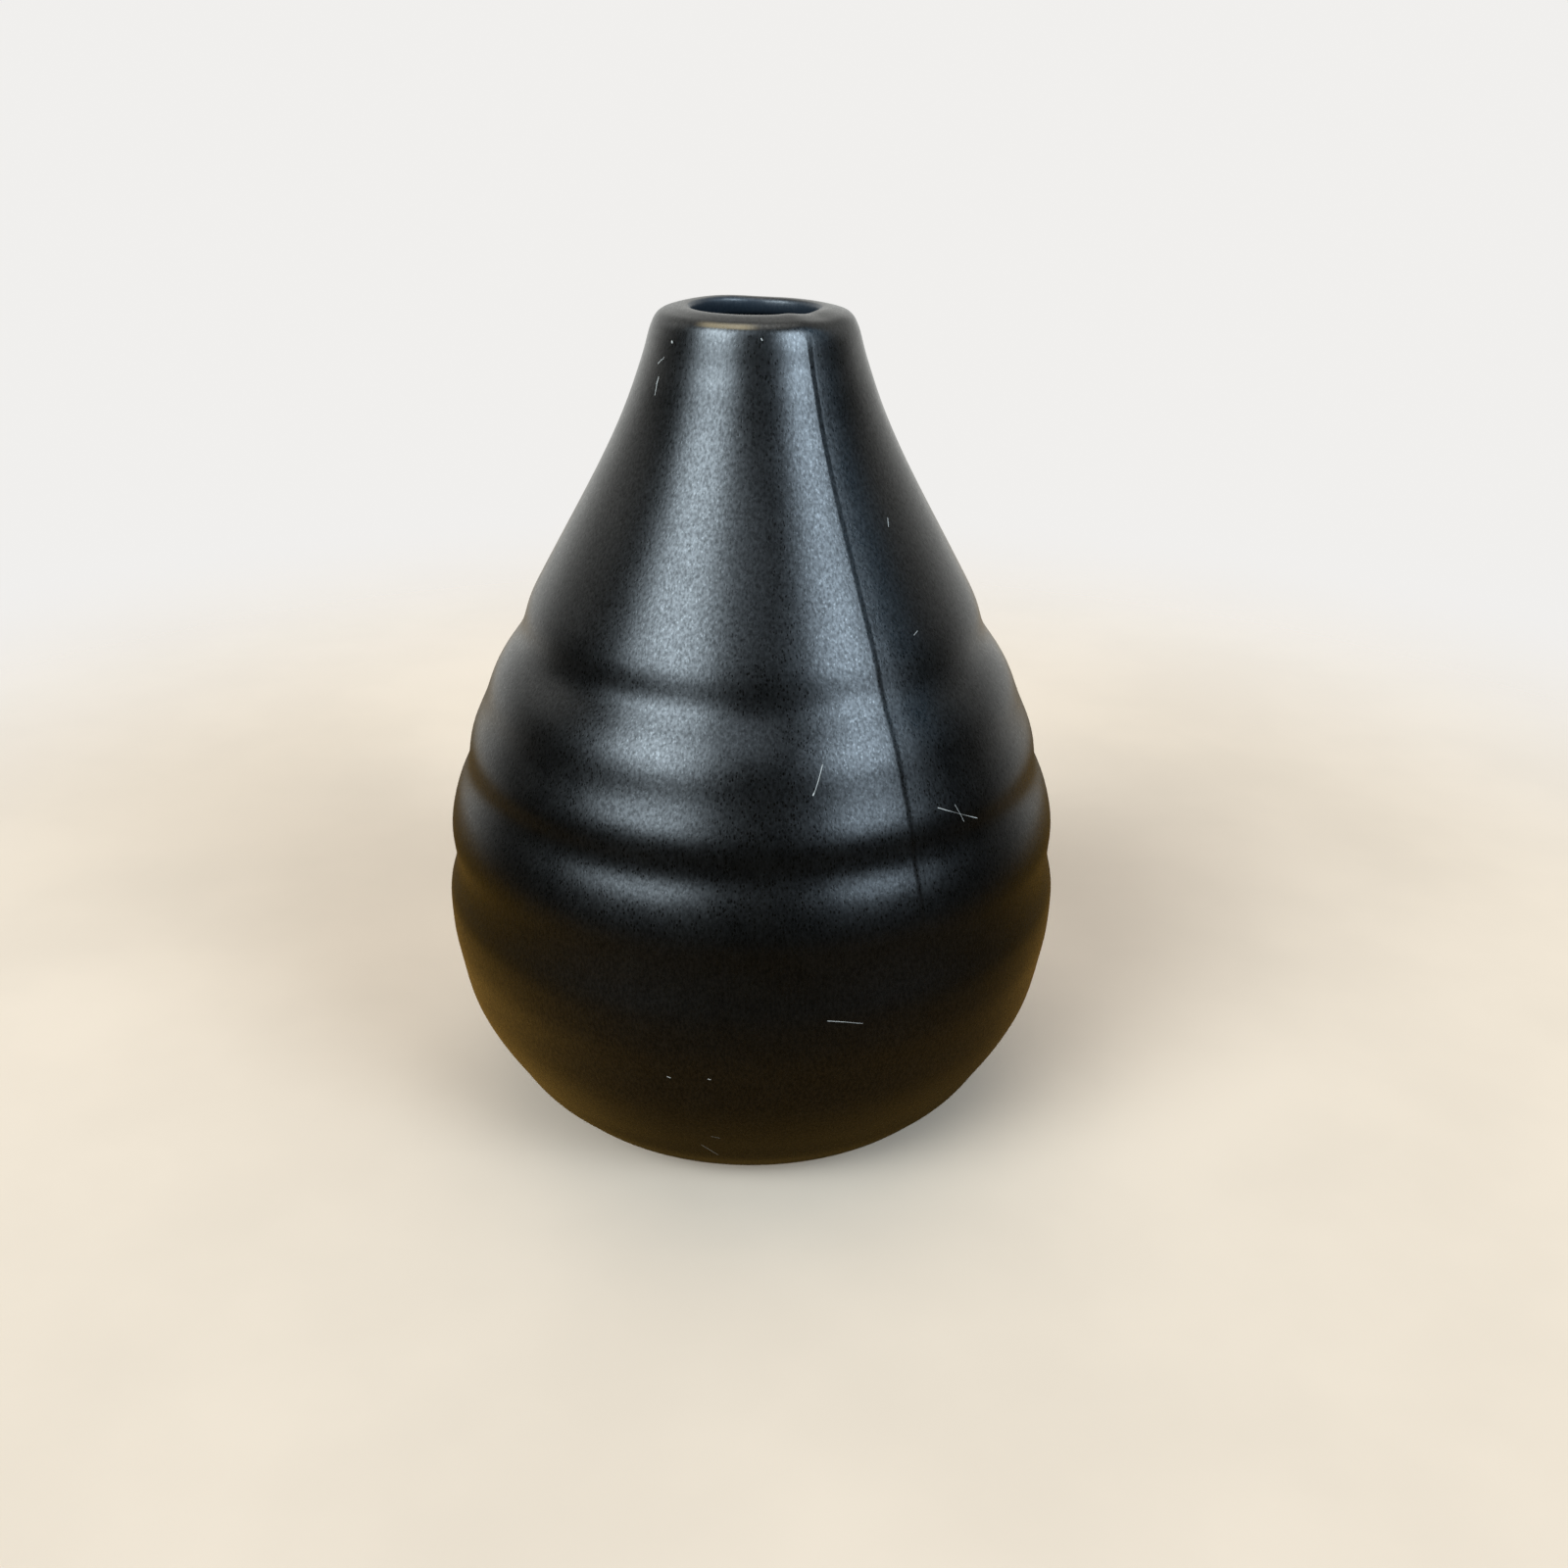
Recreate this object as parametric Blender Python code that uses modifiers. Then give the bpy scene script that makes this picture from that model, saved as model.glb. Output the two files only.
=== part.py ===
"""Stoneware bud vase: one hollow slip-cast shell and the two glaze coats fused to it.

Run it with:  blender --background --python part.py

Lengths are in metres and +Z is up.  The origin is the centre of the foot, on the table.  Every piece
is turned about Z.  One profile, the skin, is the finished surface of the whole vase: it starts on the
axis at the floor of the hollow, climbs the hollow to the throat, goes over the lip and comes down the
outside to the glaze line above the foot.  The coats are strips of the skin, and the clay is the skin
set back by the coat.
"""
from math import atan, cos, exp, hypot, pi, sin, sqrt

import bpy
import numpy as np

MM = 0.001

# Driving dimensions -----------------------------------------------------------------------------

HEIGHT = 150.0 * MM          # table to the top of the lip
FOOT_RADIUS = 33.0 * MM      # where the outside meets the table
MOUTH_RADIUS = 10.8 * MM     # the mouth, at its narrowest
WALL = 5.2 * MM              # shell with both coats, measured square to the wall

# The outside without its ring grooves: a natural cubic spline through (height, radius).
# It starts at the foot and ends where the lip's rounding takes over.
OUTLINE = (
    (0.0 * MM, FOOT_RADIUS),
    (4.0 * MM, 40.9 * MM),       # undercut above the foot
    (12.0 * MM, 48.5 * MM),
    (24.0 * MM, 54.9 * MM),
    (42.0 * MM, 57.9 * MM),      # belly, the widest place
    (62.0 * MM, 56.2 * MM),
    (88.0 * MM, 46.5 * MM),      # shoulder
    (116.0 * MM, 31.2 * MM),
    (134.0 * MM, 22.0 * MM),     # neck
)

# Ring grooves pressed into the outside: (height, depth, half-width where the depth has fallen to 1/e).
GROOVES = (
    (94.2 * MM, 0.9 * MM, 4.0 * MM),
    (80.6 * MM, 0.3 * MM, 2.9 * MM),
    (70.0 * MM, 0.9 * MM, 3.9 * MM),
    (52.4 * MM, 0.95 * MM, 4.1 * MM),
    (32.2 * MM, 0.3 * MM, 4.3 * MM),
)

MOUTH_ROUND = 0.8 * MM       # inner rounding of the lip, whose top is the vase's highest place
LIP_FALL = 0.4 * MM          # how far the lip's top then falls towards its outer rounding
LIP_ROUND = 3.0 * MM         # outer rounding of the lip
LIP_CENTRE = 14.4 * MM       # radius of the circle that rounding is centred on
LIP_LEAN = 0.35              # slope of the neck where it meets the lip, radius lost per height gained

FLOOR = 7.0 * MM             # height of the hollow's floor
BOWL_TOP = 28.0 * MM         # the hollow's floor is a quarter ellipse below this height

FOOT_WIDTH = 5.0 * MM        # flat dry ring that stands on the table
RECESS = 2.2 * MM            # height of the underside inside that ring
RECESS_SLOPE = 1.2 * MM      # width of the slope from the ring to the recess

COAT = 0.4 * MM              # thickness of either glaze coat
FIT_GAP = 0.3 * MM           # clearance kept between solids that are fused on the real vase
GLAZE_LINE = 1.6 * MM        # height where the outer coat stops above the foot
THROAT_LAP = 12.0 * MM       # how far the outer coat reaches down into the throat

LIP_HEIGHT = HEIGHT - LIP_FALL - LIP_ROUND     # height the outer rounding is centred on

# Resolution -------------------------------------------------------------------------------------

SEGMENTS = 40                # steps round the axis
OUTSIDE_STEP = 4.0 * MM      # height between profile points on the outside
HOLLOW_STEP = 9.0 * MM       # the same in the plainer hollow
BOWL_STEPS = 5               # points on the floor's quarter ellipse
ROUND_STEPS = 3              # points on each rounding of the lip

MERGE = 0.01 * MM


# Profile ----------------------------------------------------------------------------------------

def natural_spline(stations):
    """Return radius(height), the natural cubic spline through the (height, radius) stations."""
    height, radius = np.array(stations).T
    count = len(height)
    span = np.diff(height)
    slope = np.diff(radius) / span
    system = np.eye(count)
    load = np.zeros(count)
    for i in range(1, count - 1):
        system[i, i - 1:i + 2] = span[i - 1], 2 * (span[i - 1] + span[i]), span[i]
        load[i] = 6 * (slope[i] - slope[i - 1])
    bend = np.linalg.solve(system, load)

    def radius_at(z):
        i = int(np.clip(np.searchsorted(height, z) - 1, 0, count - 2))
        low = (height[i + 1] - z) / span[i]
        high = (z - height[i]) / span[i]
        cubic = (low ** 3 - low) * bend[i] + (high ** 3 - high) * bend[i + 1]
        return float(low * radius[i] + high * radius[i + 1] + cubic * span[i] ** 2 / 6)

    return radius_at


def lip_start():
    """Return (height, radius) where the neck runs into the lip's outer rounding."""
    lean = atan(LIP_LEAN)
    return LIP_HEIGHT + LIP_ROUND * sin(lean), LIP_CENTRE + LIP_ROUND * cos(lean)


smooth_radius = natural_spline(OUTLINE + (lip_start(),))


def groove_depth(z):
    """Return how far the ring grooves sink the outside at height z."""
    return sum(depth * exp(-((z - centre) / width) ** 2) for centre, depth, width in GROOVES)


def outside_radius(z):
    """Return the finished radius of the outside at height z."""
    return smooth_radius(z) - groove_depth(z)


def hollow_radius(z):
    """Return the radius of the hollow at height z, the wall's thickness in from the smooth outside."""
    if z < BOWL_TOP:
        sag = (BOWL_TOP - z) / (BOWL_TOP - FLOOR)
        return hollow_radius(BOWL_TOP) * sqrt(max(0.0, 1 - sag ** 2))
    slope = (smooth_radius(z + MM) - smooth_radius(z - MM)) / (2 * MM)
    return max(MOUTH_RADIUS, smooth_radius(z) - WALL * hypot(1, slope))


def arc(centre_radius, centre_height, radius, start, end, steps):
    """Return (radius, height) points on an arc, with its angles measured up from horizontal."""
    angles = np.linspace(start, end, steps + 1)
    return [(centre_radius + radius * cos(a), centre_height + radius * sin(a)) for a in angles]


def levels(start, end, step):
    """Return evenly spaced heights from start to end, about step apart."""
    count = max(2, round(abs(end - start) / step) + 1)
    return [float(z) for z in np.linspace(start, end, count)]


def hollow_profile():
    """Return the hollow from its floor on the axis up to the mouth's rounding."""
    tilt = np.linspace(0, pi / 2, BOWL_STEPS + 1)
    bowl = [(hollow_radius(BOWL_TOP) * sin(t), BOWL_TOP - (BOWL_TOP - FLOOR) * cos(t)) for t in tilt]
    lap = HEIGHT - THROAT_LAP
    sides = [(hollow_radius(z), z) for z in levels(BOWL_TOP, lap, HOLLOW_STEP)]
    return bowl + sides[1:]


def lip_profile():
    """Return the lip from the throat, over its sloping top and down to the neck."""
    crest = MOUTH_RADIUS + MOUTH_ROUND
    fall = atan(LIP_FALL / (LIP_CENTRE - crest))
    inner = arc(crest, HEIGHT - MOUTH_ROUND, MOUTH_ROUND, pi, pi / 2, ROUND_STEPS)
    outer = arc(LIP_CENTRE, LIP_HEIGHT, LIP_ROUND, pi / 2 - fall, atan(LIP_LEAN), ROUND_STEPS)
    return inner + outer


def outside_profile():
    """Return the outside from just under the lip down to the glaze line."""
    heights = levels(lip_start()[0], GLAZE_LINE, OUTSIDE_STEP)
    return [(outside_radius(z), z) for z in heights[1:]]


def inset(profile, distance):
    """Return the profile moved into the clay, square to itself.

    The skin runs up the hollow and down the outside, so the clay is always on its right.  A point on
    the axis moves straight down, as if the profile went on as its own mirror image.
    """
    moved = []
    for i, (radius, height) in enumerate(profile):
        before = profile[max(i - 1, 0)]
        after = profile[min(i + 1, len(profile) - 1)]
        if radius < MERGE:
            before = (-after[0], after[1])
        along_radius = after[0] - before[0]
        along_height = after[1] - before[1]
        length = hypot(along_radius, along_height)
        moved.append((radius + distance * along_height / length, height - distance * along_radius / length))
    return moved


def foot_profile():
    """Return the dry foot from its outer edge, under the ring and the recess, to the axis."""
    edge = FOOT_RADIUS - COAT - FIT_GAP
    return [
        (edge, 0.0),
        (edge - FOOT_WIDTH, 0.0),
        (edge - FOOT_WIDTH - RECESS_SLOPE, RECESS),
        (0.0, RECESS),
    ]


# Solids -----------------------------------------------------------------------------------------

def turn(name, profile, closed, material, collection):
    """Add an object made by screwing the (radius, height) profile once round Z."""
    points = [(radius, 0.0, height) for radius, height in profile]
    edges = [(i, i + 1) for i in range(len(points) - 1)]
    if closed:
        edges.append((len(points) - 1, 0))
    mesh = bpy.data.meshes.new(name)
    mesh.from_pydata(points, edges, [])
    mesh.materials.append(material)
    piece = bpy.data.objects.new(name, mesh)
    collection.objects.link(piece)
    screw = piece.modifiers.new("turned", "SCREW")
    screw.axis = "Z"
    screw.angle = 2 * pi
    screw.steps = SEGMENTS
    screw.render_steps = SEGMENTS
    screw.use_smooth_shade = True
    screw.use_merge_vertices = True
    screw.merge_threshold = MERGE
    return piece


def stoneware_body(hollow, rim_and_outside, collection):
    """Add the fired clay shell: the skin set back by a coat, and the dry foot."""
    clay = inset(hollow + rim_and_outside, COAT + FIT_GAP)
    return turn("stoneware_body", clay + foot_profile(), False, stoneware(), collection)


def outer_glaze(rim_and_outside, collection):
    """Add the coat over the outside, the lip and the top of the throat, as a closed loop."""
    under = inset(rim_and_outside, COAT)
    return turn("outer_glaze", rim_and_outside + under[::-1], True, satin_black_glaze(), collection)


def liner_glaze(hollow, collection):
    """Add the coat inside the hollow, a cup that stops just below the outer coat."""
    surface = hollow[:-1] + [(hollow[-1][0], hollow[-1][1] - FIT_GAP)]
    under = inset(surface, COAT)
    return turn("liner_glaze", surface + under[::-1], False, black_liner_glaze(), collection)


# Materials --------------------------------------------------------------------------------------

def principled(name, colour, roughness, metallic):
    """Return a Principled material of one colour."""
    material = bpy.data.materials.new(name)
    material.use_nodes = True
    material.diffuse_color = (*colour, 1.0)
    shader = material.node_tree.nodes["Principled BSDF"]
    shader.inputs["Base Color"].default_value = (*colour, 1.0)
    shader.inputs["Roughness"].default_value = roughness
    shader.inputs["Metallic"].default_value = metallic
    return material


def stoneware():
    """Return the bare fired clay, a warm grey."""
    return principled("stoneware", (0.34, 0.28, 0.22), 0.85, 0.0)


def satin_black_glaze():
    """Return the outer coat, a near-black satin."""
    return principled("satin_black_glaze", (0.012, 0.013, 0.015), 0.38, 0.0)


def black_liner_glaze():
    """Return the coat inside, black and a little glossier."""
    return principled("black_liner_glaze", (0.010, 0.010, 0.011), 0.25, 0.0)


# Assembly ---------------------------------------------------------------------------------------

def clear_scene():
    """Remove every object of the open scene."""
    for piece in list(bpy.data.objects):
        bpy.data.objects.remove(piece, do_unlink=True)


def build():
    """Model the vase in a collection of its own."""
    clear_scene()
    collection = bpy.data.collections.new("stoneware_vase")
    bpy.context.scene.collection.children.link(collection)
    hollow = hollow_profile()
    rim_and_outside = [hollow[-1]] + lip_profile() + outside_profile()
    stoneware_body(hollow[:-1], rim_and_outside, collection)
    outer_glaze(rim_and_outside, collection)
    liner_glaze(hollow, collection)


build()
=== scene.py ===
"""The stoneware bud vase's looks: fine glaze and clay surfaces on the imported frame, on a plain floor.

Lengths are in metres, +Z is up, and the vase's front faces -Y.  An azimuth is an angle round Z, in
radians, 0 at the front and growing towards +X.  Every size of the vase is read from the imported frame.
The named values below say how its skin departs from a perfect turned shape, and how it is finished.
"""
from math import ceil, pi, radians, tau

import bpy
import numpy as np
from mathutils import Euler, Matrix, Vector

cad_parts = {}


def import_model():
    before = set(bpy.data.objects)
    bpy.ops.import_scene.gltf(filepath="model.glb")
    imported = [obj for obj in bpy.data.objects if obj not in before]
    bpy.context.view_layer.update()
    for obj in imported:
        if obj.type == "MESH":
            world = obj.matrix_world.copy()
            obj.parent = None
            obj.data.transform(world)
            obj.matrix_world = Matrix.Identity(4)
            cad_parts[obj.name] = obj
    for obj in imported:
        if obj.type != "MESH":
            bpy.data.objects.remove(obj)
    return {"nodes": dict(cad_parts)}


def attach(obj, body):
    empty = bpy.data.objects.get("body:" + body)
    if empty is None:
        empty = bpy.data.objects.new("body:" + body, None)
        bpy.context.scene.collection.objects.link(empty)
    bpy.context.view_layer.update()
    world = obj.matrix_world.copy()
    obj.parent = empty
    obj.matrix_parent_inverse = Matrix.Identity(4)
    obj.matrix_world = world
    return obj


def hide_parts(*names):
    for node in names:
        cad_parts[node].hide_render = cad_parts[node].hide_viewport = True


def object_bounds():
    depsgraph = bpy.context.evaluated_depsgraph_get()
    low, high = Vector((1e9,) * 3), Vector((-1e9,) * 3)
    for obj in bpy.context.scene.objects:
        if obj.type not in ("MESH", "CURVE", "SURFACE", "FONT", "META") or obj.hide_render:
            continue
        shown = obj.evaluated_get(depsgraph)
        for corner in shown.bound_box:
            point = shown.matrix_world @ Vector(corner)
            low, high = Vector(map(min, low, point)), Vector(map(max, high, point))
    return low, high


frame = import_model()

cad_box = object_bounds()

MM = 0.001
TINY = 0.001 * MM
BODY = "root"
HEIGHT = cad_box[1].z

# How fine the surfaces are ----------------------------------------------------------------------

SKIN_STEP = 1.0 * MM           # length between rings of vertices on the outside
LIP_STEP = 0.4 * MM            # the same on the lip
HIDDEN_STEP = 2.2 * MM         # and on a face that another piece covers
LONG_LINK = 5.0 * MM           # a longer link of the frame's section is taken as straight
PLAIN_TURN = radians(1.7)      # angle between meridians
SEAM_TURN = radians(0.28)      # the same beside a seam
SEAM_ZONE = radians(5.0)       # half-width of the finer zone round a seam
SHARP_TURN = radians(50)       # an edge where the surface turns more than this is shaded sharp

# How the skin departs from a turned shape -------------------------------------------------------

CLAY_GAP = 0.02 * MM           # keeps the clay's mesh off the glaze's
FOOT_EDGE = 0.35 * MM          # size of the rounding on the foot's corners

SEAMS = (radians(30.8), radians(210.8))     # where the mould's two halves met
# The clay across a seam, left to right: (place, height above the vase's own surface).
SEAM_PROFILE = (
    (-8.0 * MM, 0.0),
    (-0.45 * MM, 0.05 * MM),
    (0.45 * MM, -0.07 * MM),
    (1.8 * MM, -0.085 * MM),
    (9.0 * MM, 0.0),
)
SEAM_FOOT = 50.0 * MM          # the seam is sponged away below this height
SEAM_FADE = 18.0 * MM          # and at full depth this much higher
SEAM_TOP = 5.0 * MM            # it starts to fade this far below the lip's top
SEAM_END = SEAM_TOP / 3        # and is gone here

RELIEF_SPAN = 9.0 * MM         # a ring is a hollow in what a smoothing of this width takes out,
RING_REACH = 5.0 * MM          # lower there than this far above and below it
RING_LEAST = 0.08 * MM         # by at least this much
RING_STEPS = 10                # places looked at in that reach
# Azimuths where the rings are compared with the frame's, from the left by the front to the back.
RING_STOPS = (radians(-90), radians(-40), 0.0, radians(40), radians(90), radians(180))
# The rings from the top down: half-height where a ring has fallen to 1/e of its depth,
RING_HALF_HEIGHTS = (4.0 * MM, 2.8 * MM, 4.0 * MM, 4.0 * MM, 4.3 * MM)
# how much deeper each ring is at those azimuths than in the frame,
RING_DEEPER = (
    (0.18 * MM, 0.22 * MM, -0.02 * MM, -0.38 * MM, 0.15 * MM, 0.0),
    (0.15 * MM, 0.18 * MM, 0.09 * MM, 0.0, 0.12 * MM, 0.1 * MM),
    (0.0, 0.0, -0.12 * MM, -0.17 * MM, 0.0, 0.05 * MM),
    (0.55 * MM, -0.26 * MM, -0.36 * MM, -0.32 * MM, 0.15 * MM, 0.1 * MM),
    (0.0, 0.07 * MM, 0.09 * MM, 0.06 * MM, 0.0, 0.1 * MM),
)
# and how far it rises there above the frame's.
RING_RISES = (
    (-0.2 * MM, -0.5 * MM, -0.7 * MM, -0.3 * MM, 0.0, 0.2 * MM),
    (0.0, -0.3 * MM, -0.3 * MM, 0.0, 0.3 * MM, 0.2 * MM),
    (-0.6 * MM, -0.4 * MM, -0.4 * MM, -0.1 * MM, -0.2 * MM, 0.2 * MM),
    (-1.1 * MM, 0.4 * MM, 0.5 * MM, 0.6 * MM, -0.35 * MM, 0.0),
    (0.0, 0.0, 0.0, 0.0, 0.2 * MM, 0.1 * MM),
)

LIP_REACH = 4.0 * MM           # the lip's own unevenness runs out this far below its top
# Highs and lows of the lip: (rise, azimuth, half-turn).
LIP_WAVES = (
    (0.12 * MM, radians(29), radians(8)),
    (-0.22 * MM, radians(50), radians(13)),
    (0.14 * MM, radians(-155), radians(45)),
    (-0.27 * MM, radians(140), radians(38)),
    (-0.28 * MM, radians(178), radians(24)),
    (0.25 * MM, radians(-5), radians(75)),
)
MOUTH_OVAL = 0.22 * MM         # how far out of round the mouth is
MOUTH_TURN = 0.9               # and which way its oval points, in radians
BELLY_OVAL = 0.20 * MM         # the same for the belly
BELLY_TURN = -0.4

FOOT_SETTLE = (2.0 * MM, 9.0 * MM)          # the skin is a true turned shape below, and free above

# A mark is a straight line and the skin curves, so this share of a point's depth off it is left out.
MARK_DEPTH_SHARE = 0.9
# Marks in the glaze: azimuth in degrees and height in mm of both ends, width in mm and strength.
MARKS = (
    (14.8, 87.0, 13.5, 84.3, 0.15, 0.75),
    (13.5, 84.3, 12.7, 82.8, 0.14, 0.60),
    (12.7, 82.9, 12.5, 82.6, 0.24, 0.80),
    (37.4, 77.1, 46.8, 73.0, 0.15, 0.80),
    (41.5, 76.6, 43.1, 73.5, 0.13, 0.55),
    (13.6, 45.4, 16.4, 44.8, 0.14, 0.65),
    (16.4, 44.8, 19.6, 43.9, 0.12, 0.50),
    (49.9, 119.4, 48.8, 118.2, 0.17, 0.80),
    (45.5, 102.9, 43.9, 102.5, 0.13, 0.65),
    (-47.4, 146.0, -46.8, 145.8, 0.34, 0.95),
    (-51.2, 143.4, -51.6, 143.1, 0.20, 0.65),
    (-52.6, 143.0, -55.2, 142.2, 0.18, 0.70),
    (-51.6, 140.3, -51.8, 139.2, 0.22, 0.90),
    (-51.6, 139.2, -50.9, 137.6, 0.17, 0.75),
    (4.7, 147.4, 5.1, 147.2, 0.24, 0.70),
    (-12.9, 33.8, -12.4, 33.6, 0.19, 0.65),
    (-5.9, 34.3, -5.5, 34.2, 0.19, 0.65),
    (-8.6, 15.3, -5.6, 12.0, 0.20, 0.22),
    (-6.2, 19.0, -4.6, 18.6, 0.16, 0.18),
)


def fade(value, start, end):
    """Return 0 at start, 1 at end and a smooth step between."""
    t = np.clip((value - start) / (end - start), 0.0, 1.0)
    return t * t * (3 - 2 * t)


def around(azimuth, centre):
    """Return the signed angle from centre to azimuth, between -pi and pi."""
    return (azimuth - centre + pi) % tau - pi


def hump(value, half_width):
    """Return 1 at 0, falling off evenly to 1/e at half_width."""
    return np.exp(-(value / half_width) ** 2)


# Sections read from the frame -------------------------------------------------------------------

def section_links(node):
    """Return the CAD node's outline in the half-plane +X, as each (radius, height) and its neighbours."""
    mesh = frame["nodes"][node].data
    place = {}
    for vertex in mesh.vertices:
        x, y, z = vertex.co
        if abs(y) < TINY and x > -TINY:
            place[vertex.index] = (round(x, 6), round(z, 6))
    links = {}
    for edge in mesh.edges:
        a, b = (place.get(i) for i in edge.vertices)
        if a and b and a != b:
            links.setdefault(a, set()).add(b)
            links.setdefault(b, set()).add(a)
    return links


def walk(links, start, second, turned):
    """Follow a section from start through second until that coordinate rises again after a fall."""
    path = [start, second]
    while True:
        onward = links[path[-1]] - {path[-2]}
        if len(onward) != 1:
            return path
        point = onward.pop()
        if path[-2][turned] > path[-1][turned] < point[turned]:
            return path
        path.append(point)


def skin_section():
    """Return the outer glaze's surface, from the glaze line up over the lip and into the throat."""
    links = section_links("outer_glaze")
    start = min(links, key=lambda point: point[1])
    second = max(links[start], key=lambda point: point[1])
    return walk(links, start, second, 1)


def hollow_section():
    """Return the liner's surface, from the floor on the axis up to the throat."""
    links = section_links("liner_glaze")
    start = max((point for point in links if point[0] < TINY), key=lambda point: point[1])
    second = min(links[start], key=lambda point: abs(point[1] - start[1]))
    return walk(links, start, second, 0)


def foot_section():
    """Return the foot ring's outer and inner radius, and the radius and height of the recess in it."""
    vertices = frame["nodes"]["stoneware_body"].data.vertices
    ring = [v.co.xy.length for v in vertices if v.co.z < TINY]
    recess_height = min(v.co.z for v in vertices if v.co.z > TINY)
    recess = max(v.co.xy.length for v in vertices if abs(v.co.z - recess_height) < TINY)
    return max(ring), min(ring), recess, recess_height


def coat_thickness():
    """Return the outer glaze's thickness, which is its edge at the glaze line."""
    links = section_links("outer_glaze")
    low = min(links, key=lambda point: point[1])
    return min((Vector(low) - Vector(point)).length for point in links[low])


# Profiles: rows of radius, height and freedom, how far the row follows the skin's unevenness -------

def natural_bends(at, values):
    """Return the second derivatives of the natural cubic spline through values at those places."""
    span = np.diff(at)[:, None]
    slope = np.diff(values, axis=0) / span
    system = np.eye(len(at))
    load = np.zeros_like(values)
    for i in range(1, len(at) - 1):
        before, after = span[i - 1, 0], span[i, 0]
        system[i, i - 1:i + 2] = before, 2 * (before + after), after
        load[i] = 6 * (slope[i] - slope[i - 1])
    return np.linalg.solve(system, load)


def smooth_curve(points, step_at):
    """Return points on a smooth curve through the given ones, step_at(radius, height) apart.

    A long link is a straight stretch of the section, and stays one.
    """
    filled = [points[0]]
    for before, after in zip(points, points[1:]):
        count = max(1, ceil((Vector(after) - Vector(before)).length / LONG_LINK))
        filled += [Vector(before).lerp(Vector(after), (i + 1) / count) for i in range(count)]
    points = np.array(filled)
    at = np.concatenate(([0.0], np.cumsum(np.linalg.norm(np.diff(points, axis=0), axis=1))))
    bends = natural_bends(at, points)
    rows = []
    for i in range(len(points) - 1):
        span = at[i + 1] - at[i]
        count = max(2, ceil(span / step_at(*points[i])))
        high = np.arange(count)[:, None] / count
        low = 1 - high
        cubic = (low ** 3 - low) * bends[i] + (high ** 3 - high) * bends[i + 1]
        rows.append(low * points[i] + high * points[i + 1] + cubic * span ** 2 / 6)
    rows.append(points[-1:])
    return np.vstack(rows)


def inset(rows, distance):
    """Return the rows moved square to the profile, to the right of the way it runs."""
    before = np.vstack((rows[:1], rows[:-1]))[:, :2]
    after = np.vstack((rows[1:], rows[-1:]))[:, :2]
    if rows[0, 0] < TINY:
        before[0] = after[0] * (-1, 1)
    along = after - before
    along /= np.linalg.norm(along, axis=1)[:, None]
    moved = rows.copy()
    moved[:, 0] += distance * along[:, 1]
    moved[:, 1] -= distance * along[:, 0]
    return moved


def thin_out(rows, step):
    """Return the rows without those closer than step to the last one kept, and with both ends."""
    kept = [rows[0]]
    for row in rows[1:-1]:
        if np.linalg.norm(row[:2] - kept[-1][:2]) >= step:
            kept.append(row)
    return np.array(kept + [rows[-1]])


def step_on_skin(radius, height):
    """Return the length between rings at that place of the skin."""
    return LIP_STEP if height > HEIGHT - LIP_REACH else SKIN_STEP


def skin_rows():
    """Return the outer glaze's surface from the throat over the lip and down to the glaze line."""
    section = skin_section()
    throat = section[-1]
    rows = smooth_curve(section, step_on_skin)[::-1]
    crest = int(np.argmax(rows[:, 1]))
    freedom = fade(rows[:, 1], *FOOT_SETTLE)
    freedom[:crest] = fade(rows[:crest, 1], throat[1], HEIGHT)
    return np.column_stack((rows, freedom))


def hollow_rows():
    """Return the liner's surface from the floor up to the throat, which follows no unevenness."""
    rows = smooth_curve(hollow_section(), lambda radius, height: HIDDEN_STEP)
    return np.column_stack((rows, np.zeros(len(rows))))


# The skin's unevenness --------------------------------------------------------------------------

def outside_of(skin):
    """Return the skin's rows on the outside, from the glaze line up to the lip's top."""
    return skin[int(np.argmax(skin[:, 1])):][::-1]


def ring_heights(skin):
    """Return the heights of the frame's rings, from the top down."""
    outside = outside_of(skin)
    steps = RING_STEPS
    step = RING_REACH / steps
    height = np.arange(outside[0, 1], HEIGHT - LIP_REACH, step)
    radius = np.interp(height, outside[:, 1], outside[:, 0])
    weight = hump(height[:, None] - height[None, :], RELIEF_SPAN)
    weight /= weight.sum(axis=1)[:, None]
    relief = radius - weight @ radius
    dip = (relief[:-2 * steps] + relief[2 * steps:]) / 2 - relief[steps:-steps]
    hollows = (dip[1:-1] > dip[:-2]) & (dip[1:-1] >= dip[2:]) & (dip[1:-1] > RING_LEAST)
    return height[steps + 1:-steps - 1][hollows][::-1]


def eased(place, stops, values):
    """Return the values given at ascending stops, eased from each stop to the next."""
    result = values[0]
    for i in range(len(stops) - 1):
        result = result + (values[i + 1] - values[i]) * fade(place, stops[i], stops[i + 1])
    return result


def eased_round(azimuth, values):
    """Return the values given at the ring stops, eased from each to the next round the vase."""
    first = RING_STOPS[0]
    stops = [stop - first for stop in RING_STOPS] + [tau]
    return eased((azimuth - first) % tau, stops, values + values[:1])


def ring_depth(height, azimuth):
    """Return how much deeper the rings are at that place than the frame's."""
    depth = 0.0
    for ring, half_height, values in zip(RINGS, RING_HALF_HEIGHTS, RING_DEEPER):
        depth = depth + hump(height - ring, half_height) * eased_round(azimuth, values)
    return depth


def ring_rise(height, azimuth):
    """Return how far the rings rise at that place above the frame's."""
    stops = [0.0, *RINGS[::-1], HEIGHT - LIP_REACH]
    values = [0.0, *(eased_round(azimuth, rises) for rises in RING_RISES[::-1]), 0.0]
    return eased(height, stops, values)


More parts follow.
